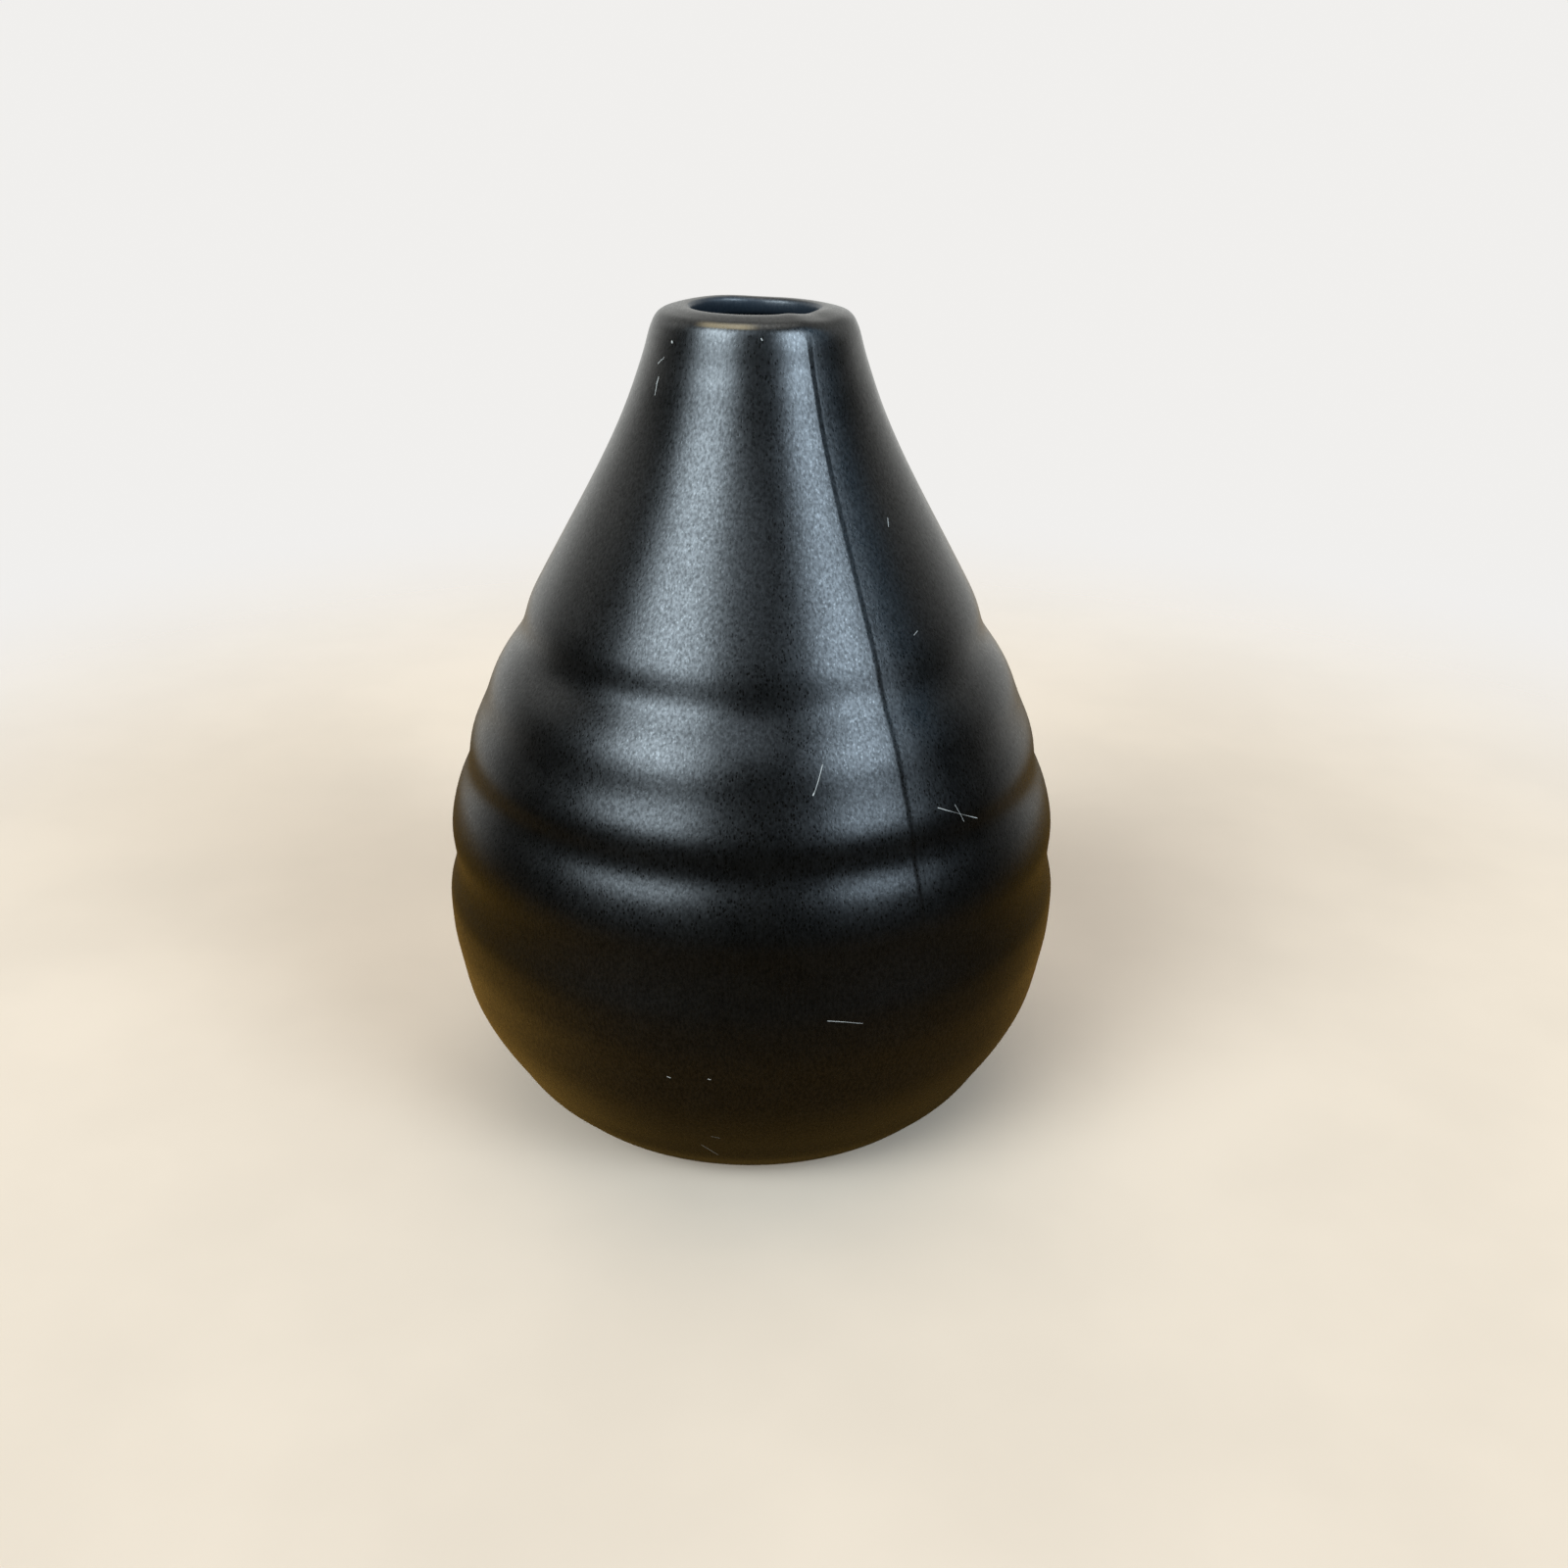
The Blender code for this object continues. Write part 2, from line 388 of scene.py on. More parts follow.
def seam_relief(radius, height, azimuth):
    """Return how far the seams move the skin: a sharp drop with a gentle slope on either side."""
    strength = fade(height, SEAM_FOOT, SEAM_FOOT + SEAM_FADE)
    strength = strength * (1 - fade(height, HEIGHT - SEAM_TOP, HEIGHT - SEAM_END))
    places, heights = zip(*SEAM_PROFILE)
    relief = 0.0
    for seam in SEAMS:
        relief = relief + np.interp(radius * around(azimuth, seam), places, heights)
    return strength * relief


def uneven(rows, azimuth):
    """Return x, y and z of every row at every azimuth, with the skin's unevenness."""
    radius, height, freedom = (column[:, None] for column in rows.T)
    on_lip = fade(height, HEIGHT - LIP_REACH, HEIGHT)
    on_belly = np.sin(np.clip(height / HEIGHT, 0, 1) * pi)
    out = seam_relief(radius, height, azimuth) - ring_depth(height, azimuth)
    out = out + MOUTH_OVAL * on_lip * np.cos(2 * azimuth + MOUTH_TURN)
    out = out + BELLY_OVAL * on_belly * np.cos(2 * azimuth + BELLY_TURN)
    up = ring_rise(height, azimuth)
    for rise, centre, half_turn in LIP_WAVES:
        up = up + rise * on_lip * hump(around(azimuth, centre), half_turn)
    radius = radius + freedom * out
    height = height + freedom * up
    return radius * np.sin(azimuth), -radius * np.cos(azimuth), height


def meridians():
    """Return the azimuths of the meshes' meridians, closer together beside the seams."""
    stops = []
    for i, seam in enumerate(SEAMS):
        following = SEAMS[(i + 1) % len(SEAMS)] + (tau if i + 1 == len(SEAMS) else 0)
        fine = np.linspace(seam - SEAM_ZONE, seam + SEAM_ZONE, ceil(2 * SEAM_ZONE / SEAM_TURN))
        gap = following - seam - 2 * SEAM_ZONE
        plain = np.linspace(seam + SEAM_ZONE, following - SEAM_ZONE, ceil(gap / PLAIN_TURN))
        stops += [fine[:-1], plain[:-1]]
    return np.concatenate(stops)


# Meshes -----------------------------------------------------------------------------------------

def turned_piece(name, rows, closed, material, node):
    """Add a piece whose surface is the rows taken round the axis, standing for a CAD node.

    The rows run down the outside.  A row on the axis is one point.  A closed profile ends where it
    began, and any other starts and ends on the axis.
    """
    azimuth = MERIDIANS
    x, y, z = uneven(rows, azimuth)
    points, rings = [], []
    for i, row in enumerate(rows):
        first = len(points)
        if row[0] < TINY:
            points.append((0.0, 0.0, row[1]))
            rings.append([first] * len(azimuth))
        else:
            ring_z = np.broadcast_to(z[i], x[i].shape)
            points += list(zip(x[i].tolist(), y[i].tolist(), ring_z.tolist()))
            rings.append(list(range(first, len(points))))
    if closed:
        rings.append(rings[0])
    faces = []
    for upper, lower in zip(rings, rings[1:]):
        for j in range(len(azimuth)):
            k = (j + 1) % len(azimuth)
            corners = [upper[j], lower[j], lower[k], upper[k]]
            faces.append(list(dict.fromkeys(corners)))
    mesh = bpy.data.meshes.new(name)
    mesh.from_pydata(points, [], faces)
    mesh.materials.append(material)
    mesh.shade_smooth()
    mesh.set_sharp_from_angle(angle=SHARP_TURN)
    mesh.validate()
    piece = bpy.data.objects.new(name, mesh)
    bpy.context.scene.collection.objects.link(piece)
    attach(piece, BODY)
    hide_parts(node)
    return piece


def outer_glaze_skin(skin, coat):
    """Add the satin black coat."""
    under = thin_out(inset(skin, coat), HIDDEN_STEP)
    rows = np.vstack((skin, under[::-1]))
    return turned_piece("outer_glaze_skin", rows, True, satin_black_glaze(),
                        "outer_glaze")


def liner_glaze_skin(hollow, coat):
    """Add the coat inside the hollow."""
    under = thin_out(inset(hollow, coat), HIDDEN_STEP)
    rows = np.vstack((hollow, under[::-1]))
    return turned_piece("liner_glaze_skin", rows, False, liner_glaze(),
                        "liner_glaze")


def stoneware_shell(skin, hollow, coat):
    """Add the clay: the skin set back by the coat, and the dry foot."""
    ring_outer, ring_inner, recess, recess_height = foot_section()
    clay = inset(np.vstack((hollow[:-1], skin)), coat + CLAY_GAP)
    clay = thin_out(clay, HIDDEN_STEP)
    edge = FOOT_EDGE
    foot = (
        (ring_outer + 1.6 * edge, 1.3 * edge),
        (ring_outer + 0.5 * edge, 0.35 * edge),
        (ring_outer - edge, 0.0),
        (ring_inner + edge, 0.0),
        (ring_inner + 0.2 * edge, 0.3 * edge),
        (ring_inner - 0.3 * edge, 1.3 * edge),
        (recess + edge, recess_height - 0.4 * edge),
        (recess - edge, recess_height),
        (0.0, recess_height),
    )
    foot = np.column_stack((foot, np.zeros(len(foot))))
    rows = np.vstack((clay, foot))
    return turned_piece("stoneware_shell", rows, False, bare_stoneware(), "stoneware_body")


# Materials --------------------------------------------------------------------------------------

# The outer glaze's patterns: sizes of their features, and how space is squeezed to draw them upwards.
GRAIN_SIZE = 0.42 * MM
PIT_SIZE = 0.46 * MM           # width of the cells that may hold a glassy pit
STREAK_SIZE = 0.55 * MM
MOTTLE_SIZE = 5.0 * MM
CLOUD_SIZE = 28.0 * MM
GRAIN_SQUEEZE = (1.0, 1.0, 0.5)
STREAK_SQUEEZE = (1.0, 1.0, 0.10)

PIT_EDGE = (0.42, 0.16)        # a pit starts and is full this far from its cell's middle, in cells
PIT_LOT = (0.35, 0.50)         # cells whose lot is under the first have none
PIT_GLOSS = (0.15, 0.10)       # how much less rough a pit is, low on the vase and high on it,
PIT_HEIGHTS = (HEIGHT - 60 * MM, HEIGHT - 25 * MM)     # changing between these heights

# The glaze breaks brown over the lip's edge, and that brown is also a painted highlight: it is lighter,
# and only round the front-left, where the left softbox's highlight falls on the lip.
BREAK_AND_HIGHLIGHT_FOOT = (HEIGHT - 1.45 * MM, HEIGHT - 1.05 * MM)  # the glaze breaks brown over the lip's edge
BREAK_AND_HIGHLIGHT_TOP = (HEIGHT - 0.35 * MM, HEIGHT - 0.85 * MM)   # between these heights,
BREAK_AND_HIGHLIGHT_PLACE = radians(-15)                             # round this azimuth,
BREAK_AND_HIGHLIGHT_REACH = (radians(21), radians(8))                # to this far either side of it
THROAT_EDGE = (0.8 * MM, 0.2 * MM)                     # the throat starts this far outside the mouth

GLAZE_DARK = (0.0010, 0.0008, 0.0005, 1)
GLAZE_LIGHT = (0.0016, 0.0013, 0.0008, 1)
GLAZE_CLOUD = (0.0013, 0.0014, 0.0012, 1)
# painted reflection: the throat is lighter and bluer than the glaze, standing in for bluish light
# reflected inside the mouth
GLAZE_THROAT_PAINTED_REFLECTION = (0.016, 0.023, 0.031, 1)
# painted highlight as well as the glaze's break: light brown on the lip where the left softbox's
# highlight falls
GLAZE_BREAK_BROWN_AND_PAINTED_HIGHLIGHT = (0.20, 0.145, 0.080, 1)
GLAZE_MARK = (0.62, 0.61, 0.57, 1)

GLAZE_ROUGHNESS = (0.275, 0.31)
STREAK_ROUGHNESS = 0.015       # added or taken off by the streaks
THROAT_ROUGHNESS = 0.14        # added in the throat
MARK_ROUGHNESS = 0.8
GLAZE_SPECULAR = (0.25, 0.75)
LIP_SPECULAR = 0.25            # added near the lip
LIP_HEIGHTS = (HEIGHT - 14 * MM, HEIGHT - 6 * MM)      # from nothing to all of it

GLAZE_BUMP = 0.010 * MM        # height of the grain
STREAK_BUMP = 0.5              # height of the other patterns, against the grain's
PIT_BUMP = 0.3
MOTTLE_BUMP = 2.5

# The liner glaze.
LINER_DARK = (0.008, 0.008, 0.009, 1)
LINER_LIGHT = (0.014, 0.014, 0.014, 1)
LINER_ROUGHNESS = (0.20, 0.28)
LINER_SPECULAR = 0.5
LINER_GRAIN_SIZE = 0.5 * MM
LINER_RIPPLE_SIZE = 6.0 * MM
LINER_BUMP = 0.01 * MM         # height of the grain
RIPPLE_BUMP = 6.0              # height of the ripples, against the grain's

# The bare clay.
CLAY_DARK = (0.30, 0.245, 0.19, 1)
CLAY_LIGHT = (0.40, 0.335, 0.27, 1)
CLAY_GRIT = (0.46, 0.40, 0.33, 1)
CLAY_IRON = (0.06, 0.035, 0.022, 1)
CLAY_WORN = (0.50, 0.46, 0.40, 1)
CLAY_ROUGHNESS = (0.78, 0.95)
CLAY_SPECULAR = 0.35
CLAY_BUMP = 0.08 * MM
GRIT_SIZE = 0.5 * MM
PATCH_SIZE = 9.0 * MM
IRON_SIZE = 1.6 * MM           # width of the cells that may hold an iron speck
IRON_EDGE = (0.24, 0.10)       # a speck starts and is full this far from its cell's middle, in cells
IRON_LOT = (0.72, 0.78)        # cells whose lot is under the first have none
WORN_HEIGHT = 0.25 * MM        # the table wears the foot up to here


class Graph:
    """The node tree of one material or world, built value by value."""

    def __init__(self, tree):
        self.tree = tree
        tree.nodes.clear()

    def add(self, kind, inputs=(), **settings):
        """Add a node with its settings, and set or link its inputs."""
        made = self.tree.nodes.new(kind)
        for name, value in settings.items():
            setattr(made, name, value)
        for key, value in dict(inputs).items():
            self.give(value, made.inputs[key])
        return made

    def give(self, value, socket):
        """Link a socket to another node's output, or set it to a plain value."""
        if isinstance(value, bpy.types.NodeSocket):
            self.tree.links.new(value, socket)
        else:
            socket.default_value = value

    def maths(self, operation, *values):
        """Return the result of a scalar operation."""
        return self.add("ShaderNodeMath", enumerate(values), operation=operation).outputs[0]

    def product(self, first, second):
        """Return one number times another."""
        return self.maths("MULTIPLY", first, second)

    def total(self, first, second):
        """Return one number plus another."""
        return self.maths("ADD", first, second)

    def apart(self, first, second):
        """Return how far apart two numbers are."""
        return self.maths("ABSOLUTE", self.maths("SUBTRACT", first, second))

    def vector(self, operation, first, second):
        """Return the vector that an operation on two vectors gives."""
        made = self.add("ShaderNodeVectorMath", {0: first, 1: second}, operation=operation)
        return made.outputs["Vector"]

    def dot(self, first, second):
        """Return the dot product of two vectors."""
        inputs = {0: first, 1: second}
        return self.add("ShaderNodeVectorMath", inputs, operation="DOT_PRODUCT").outputs["Value"]

    def length(self, vector):
        """Return the length of a vector."""
        return self.add("ShaderNodeVectorMath", {0: vector}, operation="LENGTH").outputs["Value"]

    def scaled(self, vector, factor):
        """Return the vector times a number."""
        inputs = {0: vector, "Scale": factor}
        return self.add("ShaderNodeVectorMath", inputs, operation="SCALE").outputs["Vector"]

    def place(self, kind="Object"):
        """Return the place that is shaded, and its x, y and z."""
        vector = self.add("ShaderNodeTexCoord").outputs[kind]
        return vector, self.add("ShaderNodeSeparateXYZ", {0: vector}).outputs

    def azimuth(self, xyz):
        """Return the azimuth of a place or a direction."""
        return self.maths("ARCTAN2", xyz["X"], self.product(xyz["Y"], -1.0))

    def noise(self, vector, size, detail, roughness=0.5):
        """Return soft noise from 0 to 1 with features of about that size."""
        inputs = {"Vector": vector, "Scale": 1 / size, "Detail": detail, "Roughness": roughness}
        return self.add("ShaderNodeTexNoise", inputs).outputs["Fac"]

    def specks(self, vector, size, edge, lot):
        """Return 1 on specks scattered one to a cell of that size, and 0 between them."""
        cells = self.add("ShaderNodeTexVoronoi", {"Vector": vector, "Scale": 1 / size}).outputs
        drawn = self.add("ShaderNodeSeparateColor", {0: cells["Color"]}).outputs[0]
        return self.product(self.remap(cells["Distance"], *edge), self.remap(drawn, *lot))

    def remap(self, value, start, end, low=0.0, high=1.0):
        """Return low where value is start, high where it is end and a smooth step between."""
        inputs = {"Value": value, "From Min": start, "From Max": end, "To Min": low, "To Max": high}
        return self.add("ShaderNodeMapRange", inputs, interpolation_type="SMOOTHSTEP").outputs[0]

    def blend(self, factor, first, second):
        """Return a colour between the two."""
        made = self.add("ShaderNodeMix", data_type="RGBA")
        for name, value in {"Factor": factor, "A": first, "B": second}.items():
            self.give(value, next(s for s in made.inputs if s.name == name and s.enabled))
        return next(s for s in made.outputs if s.enabled)

    def end(self, shader, kind="Material"):
        """End the tree in a shader."""
        output = self.add("ShaderNodeOutput" + kind)
        self.tree.links.new(shader, output.inputs["Surface"])


def new_material(name):
    """Return a material and the graph that fills it."""
    material = bpy.data.materials.new(name)
    material.use_nodes = True
    return material, Graph(material.node_tree)


def surface(graph, colour, roughness, specular, height, depth):
    """End a material's graph in a Principled shader with a bump of that depth."""
    bump = graph.add("ShaderNodeBump", {"Height": height, "Distance": depth, "Strength": 1.0})
    shader = graph.add("ShaderNodeBsdfPrincipled", {
        "Base Color": colour,
        "Roughness": roughness,
        "Specular IOR Level": specular,
        "Normal": bump.outputs[0],
    })
    graph.end(shader.outputs[0])


def place_on_skin(azimuth, height):
    """Return the skin's point at that azimuth and, before its unevenness, that height."""
    outside = outside_of(SKIN)
    radius = np.interp(height, outside[:, 1], outside[:, 0])
    row = np.array([[radius, height, 1.0]])
    return Vector([float(np.ravel(axis)[0]) for axis in uneven(row, np.array([azimuth]))])


def mark_mask(graph, place):
    """Return 1 on the scratches and specks of the glaze, and 0 elsewhere."""
    mask = 0.0
    for azimuth_a, height_a, azimuth_b, height_b, width, strength in MARKS:
        start = place_on_skin(radians(azimuth_a), height_a * MM)
        end = place_on_skin(radians(azimuth_b), height_b * MM)
        along = end - start
        offset = graph.vector("SUBTRACT", place, start)
        share = graph.dot(offset, along / along.length_squared)
        share = graph.maths("MINIMUM", graph.maths("MAXIMUM", share, 0.0), 1.0)
        gap = graph.vector("SUBTRACT", offset, graph.scaled(tuple(along), share))
        outward = ((start + end) * Vector((1, 1, 0))).normalized()
        depth = graph.product(graph.dot(gap, outward), MARK_DEPTH_SHARE)
        gap = graph.vector("SUBTRACT", gap, graph.scaled(tuple(outward), depth))
        mark = graph.remap(graph.length(gap), width * MM / 2, width * MM / 5, 0.0, strength)
        mask = graph.maths("MAXIMUM", mask, mark)
    return mask


def satin_black_glaze():
    """Return the outer glaze: satin black with fine glassy pits, brown where it breaks over the lip, with
    a painted highlight on that brown and a painted bluish reflection in the throat.
    """
    material, graph = new_material("satin_black_glaze_skin")
    place, xyz = graph.place()
    flat = graph.add("ShaderNodeCombineXYZ", {"X": xyz["X"], "Y": xyz["Y"]}).outputs[0]
    radius = graph.length(flat)
    drawn = graph.vector("MULTIPLY", place, GRAIN_SQUEEZE)
    run = graph.vector("MULTIPLY", place, STREAK_SQUEEZE)

    grain = graph.noise(drawn, GRAIN_SIZE, 2.0, 0.6)
    streak = graph.noise(run, STREAK_SIZE, 2.0)
    mottle = graph.noise(place, MOTTLE_SIZE, 3.0)
    cloud = graph.noise(place, CLOUD_SIZE, 2.0)
    pit = graph.specks(drawn, PIT_SIZE, PIT_EDGE, PIT_LOT)

    marks = mark_mask(graph, place)
    # the glaze's brown break over the lip, painted lighter as a highlight on the side where the left
    # softbox's highlight falls
    band = graph.product(graph.remap(xyz["Z"], *BREAK_AND_HIGHLIGHT_FOOT), graph.remap(xyz["Z"], *BREAK_AND_HIGHLIGHT_TOP))
    highlight_side = graph.remap(graph.apart(graph.azimuth(xyz), BREAK_AND_HIGHLIGHT_PLACE), *BREAK_AND_HIGHLIGHT_REACH)
    throat = graph.remap(radius, *(MOUTH_RADIUS + edge for edge in THROAT_EDGE))

    colour = graph.blend(graph.remap(mottle, 0.3, 0.7), GLAZE_DARK, GLAZE_LIGHT)
    colour = graph.blend(graph.remap(cloud, 0.4, 0.7, 0.0, 0.5), colour, GLAZE_CLOUD)
    # painted reflection: the throat's lighter blue stands in for light reflected inside the mouth
    colour = graph.blend(throat, colour, GLAZE_THROAT_PAINTED_REFLECTION)
    colour = graph.blend(graph.product(band, highlight_side), colour, GLAZE_BREAK_BROWN_AND_PAINTED_HIGHLIGHT)
    colour = graph.blend(marks, colour, GLAZE_MARK)

    roughness = graph.remap(mottle, 0.2, 0.8, *GLAZE_ROUGHNESS)
    gloss = graph.product(pit, graph.remap(xyz["Z"], *PIT_HEIGHTS, *PIT_GLOSS))
    roughness = graph.maths("SUBTRACT", roughness, gloss)
    streaks = graph.remap(streak, 0.3, 0.7, -STREAK_ROUGHNESS, STREAK_ROUGHNESS)
    roughness = graph.total(roughness, streaks)
    roughness = graph.total(roughness, graph.product(throat, THROAT_ROUGHNESS))
    roughness = graph.maths("MAXIMUM", roughness, graph.product(marks, MARK_ROUGHNESS))
    specular = graph.remap(grain, 0.2, 0.8, *GLAZE_SPECULAR)
    specular = graph.total(specular, graph.remap(xyz["Z"], *LIP_HEIGHTS, 0.0, LIP_SPECULAR))

    height = graph.total(grain, graph.product(streak, STREAK_BUMP))
    height = graph.maths("SUBTRACT", height, graph.product(pit, PIT_BUMP))
    height = graph.total(height, graph.product(mottle, MOTTLE_BUMP))
    surface(graph, colour, roughness, specular, height, GLAZE_BUMP)
    return material


def liner_glaze():
    """Return the inner glaze: the same black, thicker and a little glossier."""
    material, graph = new_material("black_liner_glaze_skin")
    place, _ = graph.place()
    ripple = graph.noise(place, LINER_RIPPLE_SIZE, 3.0)
    grain = graph.noise(place, LINER_GRAIN_SIZE, 2.0)
    colour = graph.blend(graph.remap(ripple, 0.3, 0.7), LINER_DARK, LINER_LIGHT)
    roughness = graph.remap(grain, 0.2, 0.8, *LINER_ROUGHNESS)
    height = graph.total(graph.product(ripple, RIPPLE_BUMP), grain)
    surface(graph, colour, roughness, LINER_SPECULAR, height, LINER_BUMP)
    return material


def bare_stoneware():
    """Return the unglazed clay of the foot: warm grey, gritty, worn lighter where it rubs the table."""
    material, graph = new_material("bare_stoneware_shell")
    place, xyz = graph.place()
    grit = graph.noise(place, GRIT_SIZE, 4.0, 0.7)
    patch = graph.noise(place, PATCH_SIZE, 3.0)
    iron = graph.specks(place, IRON_SIZE, IRON_EDGE, IRON_LOT)
    rubbed = graph.remap(patch, 0.35, 0.6, 0.3, 0.8)
    worn = graph.product(graph.remap(xyz["Z"], WORN_HEIGHT, 0.0), rubbed)
    colour = graph.blend(graph.remap(patch, 0.3, 0.7), CLAY_DARK, CLAY_LIGHT)
    colour = graph.blend(graph.remap(grit, 0.35, 0.7, 0.0, 0.5), colour, CLAY_GRIT)
    colour = graph.blend(iron, colour, CLAY_IRON)
    colour = graph.blend(worn, colour, CLAY_WORN)
    roughness = graph.remap(grit, 0.2, 0.8, *CLAY_ROUGHNESS)
    surface(graph, colour, roughness, CLAY_SPECULAR, grit, CLAY_BUMP)
    return material


# Stage ------------------------------------------------------------------------------------------

BACKGROUND = (0.875, 0.865, 0.85, 1)

# The floor as it is seen.
FLOOR_COLOUR = (0.76, 0.60, 0.46, 1)
FLOOR_SHADE = 0.94             # its darker clouds, as a share of that
FLOOR_CLOUD = 60 * MM          # and their size
FLOOR_ROUGHNESS = 0.75
FLOOR_SPECULAR = 0.2
FLOOR_NEAR = 0.19              # it is plain up to this distance from the vase
FLOOR_FAR = 0.42               # and has melted into the background here

# The floor as the glaze mirrors it: a painted reflection, browner than the floor is seen, with painted
# shade.
NEAR_FLOOR_PAINTED_REFLECTION = (0.38, 0.185, 0.03, 1)
OUTER_FLOOR_PAINTED_REFLECTION = (0.13, 0.060, 0.0, 1)
BACK_FLOOR_PAINTED_REFLECTION = (0.11, 0.088, 0.055, 1)
NEAR_OUTER = (65 * MM, 150 * MM)               # distances where the first gives way to the second
FRONT_BACK = (radians(130), radians(165))      # turns from the front where they give way to the third
# Painted shade on the floor as the glaze mirrors it, darkest in front of the vase and to its front-right.
DIM_PLACE = radians(24)                        # the floor is dimmest at this azimuth:
DIM_REACH = (radians(40), radians(105))        # turns from there where its light changes
DIM_LIGHT = (0.45, 1.15)                       # from the first share to the second

# What the glaze mirrors round the vase: a pale wall behind it, as a share of full light.
WALL_COLOUR = (0.97, 0.98, 0.95, 1)
WALL_HEIGHTS = (radians(-15), radians(60))     # elevations between which the wall darkens,
WALL_LIGHT = (1.02, 0.42)                      # from the first share to the second
WALL_SIDES = (radians(98), radians(138))       # turns from the front where it starts and is full
WALL_LEAN = radians(24)                        # it draws back by this much more
WALL_LEAN_HEIGHTS = (radians(8), radians(30))  # between these elevations
RIGHT_DIM = (radians(90), radians(110), 1.0, 0.80)     # azimuths and shares: dimmer on the right,
BACK_GLOW = (radians(145), radians(165), 1.0, 1.35)    # and brighter again at the back
FAR_FLOOR = (0.57, 0.46, 0.31, 1)              # the ground beyond the floor,
FAR_FLOOR_HEIGHTS = (radians(-6), radians(-17))        # between these elevations
ROOM_LIGHT = 0.02              # light from every side but the wall's, as a share of the wall's
CEILING_LIGHT = 1.3            # the same from straight above,
CEILING_HEIGHTS = (radians(58), radians(76))   # between these elevations

# Softboxes: azimuth, elevation, half-width, half-height, half-widths of the soft edges at the sides
# and at top and bottom, all in degrees, then radiance and colour.
SOFTBOXES = (
    (-44, 34, 19, 13, 14, 12, 12.9, (0.84, 1.0, 1.12)),
    (50, 31, 14, 11.5, 9, 12, 12.3, (0.80, 1.0, 1.19)),
    (-6, 48, 12, 7, 12, 7, 2.3, (0.84, 1.0, 1.16)),
    (-107, 26, 10, 11, 11, 12, 0.27, (0.96, 1.0, 1.0)),
    (83, 37, 12, 12, 14, 13, 0.80, (0.26, 0.62, 1.0)),
)

SENSOR_WIDTH = 36.0            # in millimetres, as Blender takes both
LENS = 36.07
EYE = (6.0 * MM, -271.5 * MM, 189.5 * MM)
LOOK_DOWN = radians(25.2)      # how far the camera looks down,
ROLL = radians(0.82)           # and how far it is rolled
CLIP_START = 0.01


def floor():
    """Add a plain pale floor that melts into the background away from the vase; the glaze mirrors it in
    browner painted colours, with painted shade.
    """
    bpy.ops.mesh.primitive_plane_add(size=2 * FLOOR_FAR, location=(0, 0, 0))
    plane = bpy.context.object
    plane.name = "floor"
    material, graph = new_material("pale_floor")
    place, xyz = graph.place()
    distance = graph.length(place)
    azimuth = graph.azimuth(xyz)

    tone = graph.noise(place, FLOOR_CLOUD, 4.0)
    darker = tuple(channel * FLOOR_SHADE for channel in FLOOR_COLOUR[:3]) + (1,)
    seen = graph.blend(graph.remap(tone, 0.3, 0.7), darker, FLOOR_COLOUR)

    # painted reflection and painted shade: the glaze sees the floor browner, darker away from the vase,
    # dimmed in front and in another colour behind
    reflected = graph.blend(graph.remap(distance, *NEAR_OUTER), NEAR_FLOOR_PAINTED_REFLECTION, OUTER_FLOOR_PAINTED_REFLECTION)
    light = graph.remap(graph.apart(azimuth, DIM_PLACE), *DIM_REACH, *DIM_LIGHT)
    reflected = graph.scaled(reflected, light)
    behind = graph.remap(graph.maths("ABSOLUTE", azimuth), *FRONT_BACK)
    reflected = graph.blend(behind, reflected, BACK_FLOOR_PAINTED_REFLECTION)

    mirrored = graph.add("ShaderNodeLightPath").outputs["Is Glossy Ray"]
    shader = graph.add("ShaderNodeBsdfPrincipled", {
        "Base Color": graph.blend(mirrored, seen, reflected),
        "Roughness": FLOOR_ROUGHNESS,
        "Specular IOR Level": FLOOR_SPECULAR,
    })
    clear = graph.add("ShaderNodeBsdfTransparent")
    away = graph.remap(distance, FLOOR_NEAR, FLOOR_FAR)
    mixed = graph.add("ShaderNodeMixShader", {0: away, 1: shader.outputs[0], 2: clear.outputs[0]})
    graph.end(mixed.outputs[0])
    plane.data.materials.append(material)


def softbox(graph, azimuth, elevation, box):
    """Return the light of a soft-edged box in the sky."""
    *angles, radiance, colour = box
    place_round, place_up, half_width, half_height, side_edge, top_edge = map(radians, angles)
    share = radiance
    for angle, centre, half, edge in (
        (azimuth, place_round, half_width, side_edge),
        (elevation, place_up, half_height, top_edge),
    ):
        share = graph.product(share, graph.remap(graph.apart(angle, centre), half + edge, half - edge))
    return graph.scaled(colour, share)


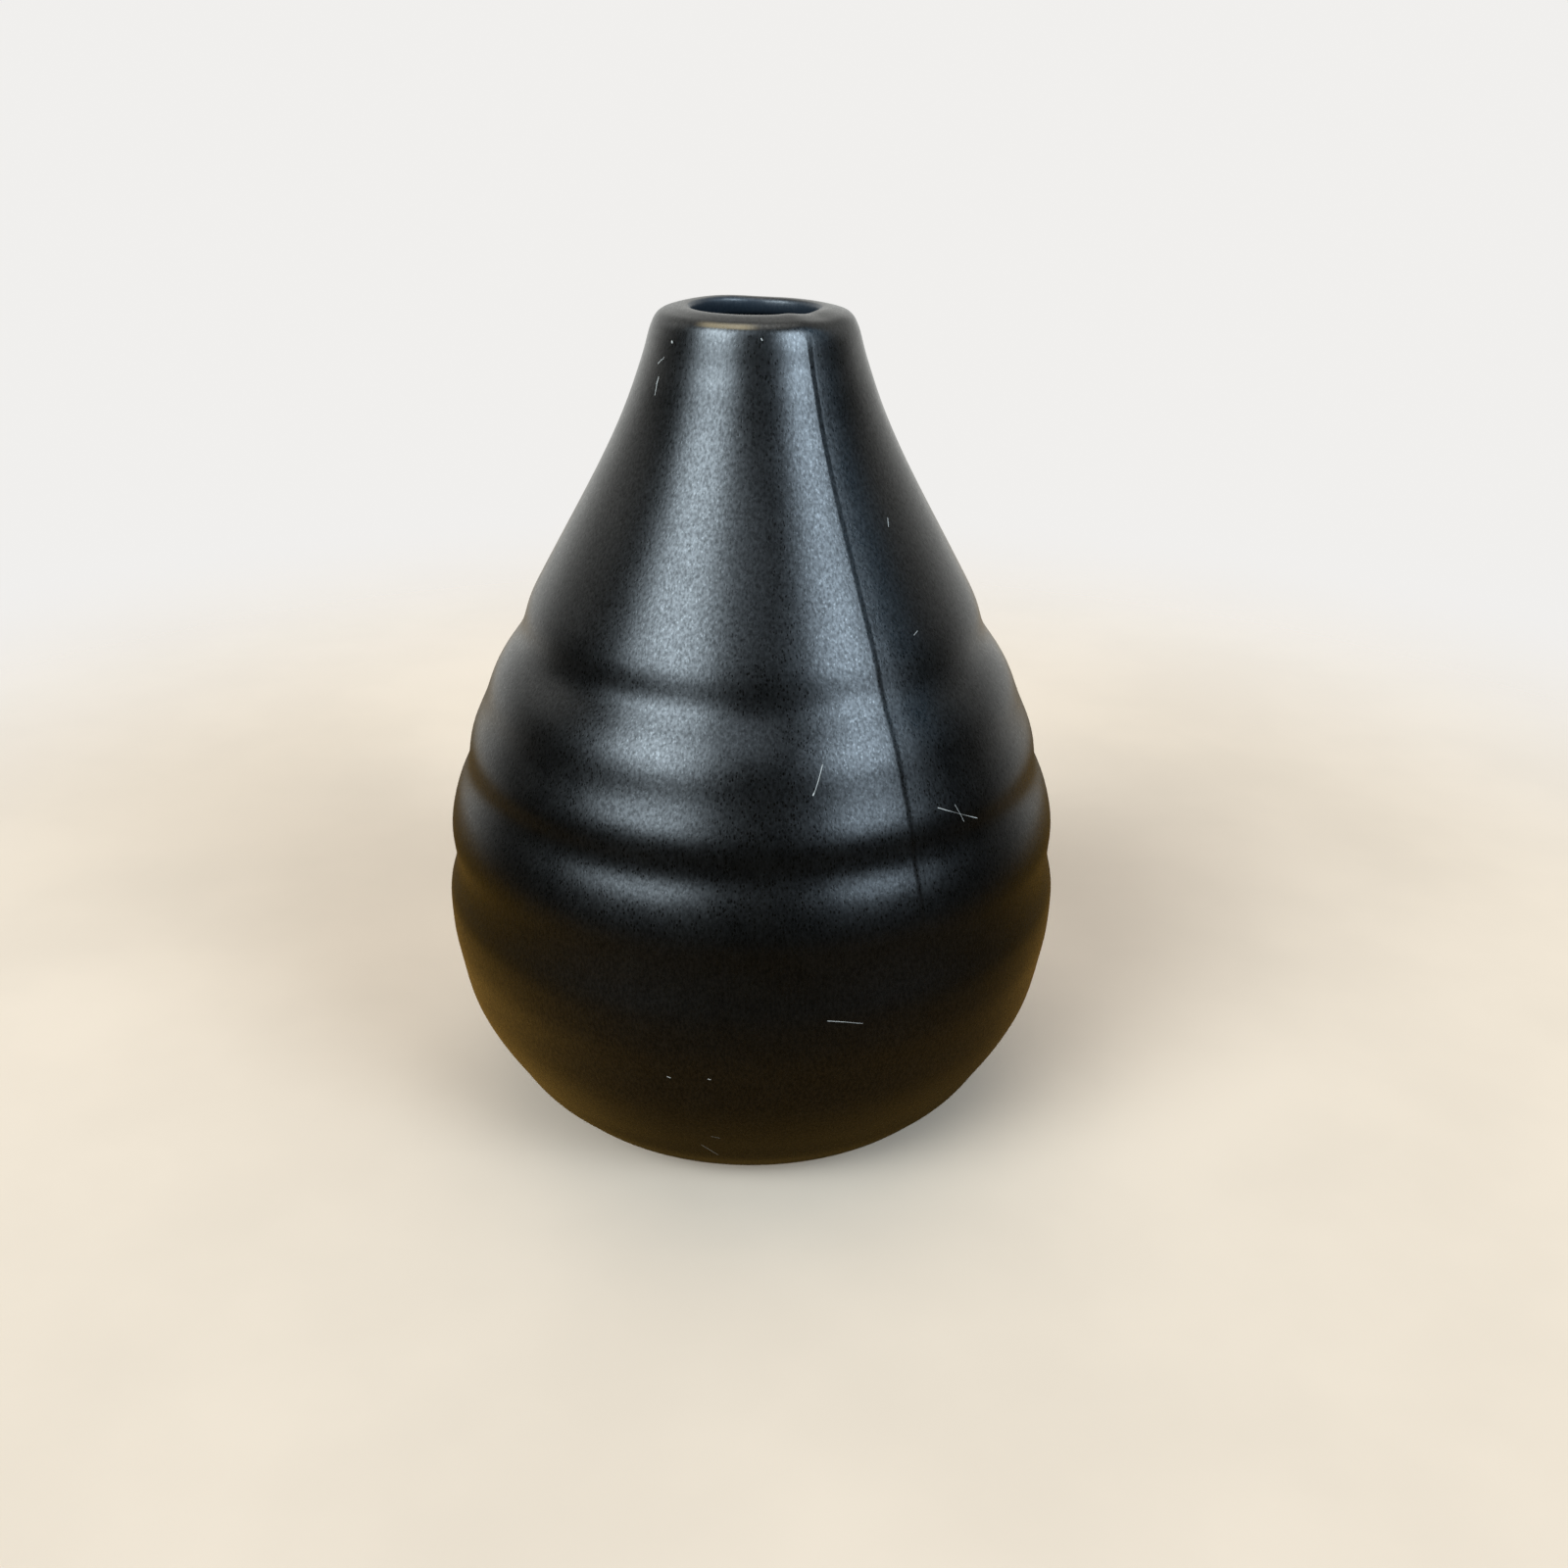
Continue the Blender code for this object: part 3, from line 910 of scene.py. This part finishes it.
def world():
    """Light the vase from a plain room: softboxes in front of it and a pale wall behind."""
    made = bpy.data.worlds.new("studio")
    bpy.context.scene.world = made
    made.use_nodes = True
    graph = Graph(made.node_tree)
    _, xyz = graph.place("Generated")
    azimuth = graph.azimuth(xyz)
    elevation = graph.maths("ARCSINE", xyz["Z"])

    aside = graph.maths("ABSOLUTE", azimuth)
    aside = graph.total(aside, graph.remap(elevation, *WALL_LEAN_HEIGHTS, 0.0, WALL_LEAN))
    wall = graph.remap(elevation, *WALL_HEIGHTS, *WALL_LIGHT)
    wall = graph.product(wall, graph.remap(azimuth, *RIGHT_DIM))
    wall = graph.product(wall, graph.remap(azimuth, *BACK_GLOW))
    wall = graph.product(graph.remap(aside, *WALL_SIDES), wall)
    ceiling = graph.remap(elevation, *CEILING_HEIGHTS, ROOM_LIGHT, CEILING_LIGHT)
    shade = graph.blend(graph.remap(elevation, *FAR_FLOOR_HEIGHTS), WALL_COLOUR, FAR_FLOOR)
    light = graph.scaled(shade, graph.total(wall, ceiling))
    for box in SOFTBOXES:
        light = graph.vector("ADD", light, softbox(graph, azimuth, elevation, box))

    seen = graph.add("ShaderNodeLightPath").outputs["Is Camera Ray"]
    colour = graph.blend(seen, light, BACKGROUND)
    background = graph.add("ShaderNodeBackground", {"Color": colour, "Strength": 1.0})
    graph.end(background.outputs[0], "World")


def camera():
    """Add the camera a little above the vase, looking down at it from in front."""
    view = bpy.data.cameras.new("camera")
    view.sensor_width = SENSOR_WIDTH
    view.lens = LENS
    view.clip_start = CLIP_START
    eye = bpy.data.objects.new("camera", view)
    eye.location = EYE
    tilt = Euler((radians(90) - LOOK_DOWN, 0, 0)).to_matrix()
    roll = Euler((0, 0, ROLL)).to_matrix()
    eye.rotation_euler = (tilt @ roll).to_euler()
    bpy.context.scene.collection.objects.link(eye)
    bpy.context.scene.camera = eye


# Assembly ---------------------------------------------------------------------------------------

COAT = coat_thickness()
SKIN = skin_rows()
MOUTH_RADIUS = SKIN[:, 0].min()
RINGS = ring_heights(SKIN)
assert len(RINGS) == len(RING_HALF_HEIGHTS) == len(RING_DEEPER) == len(RING_RISES)
MERIDIANS = meridians()

hollow = hollow_rows()
outer_glaze_skin(SKIN, COAT)
liner_glaze_skin(hollow, COAT)
stoneware_shell(SKIN, hollow, COAT)

floor()
world()
camera()
bpy.context.scene.view_settings.view_transform = "Standard"
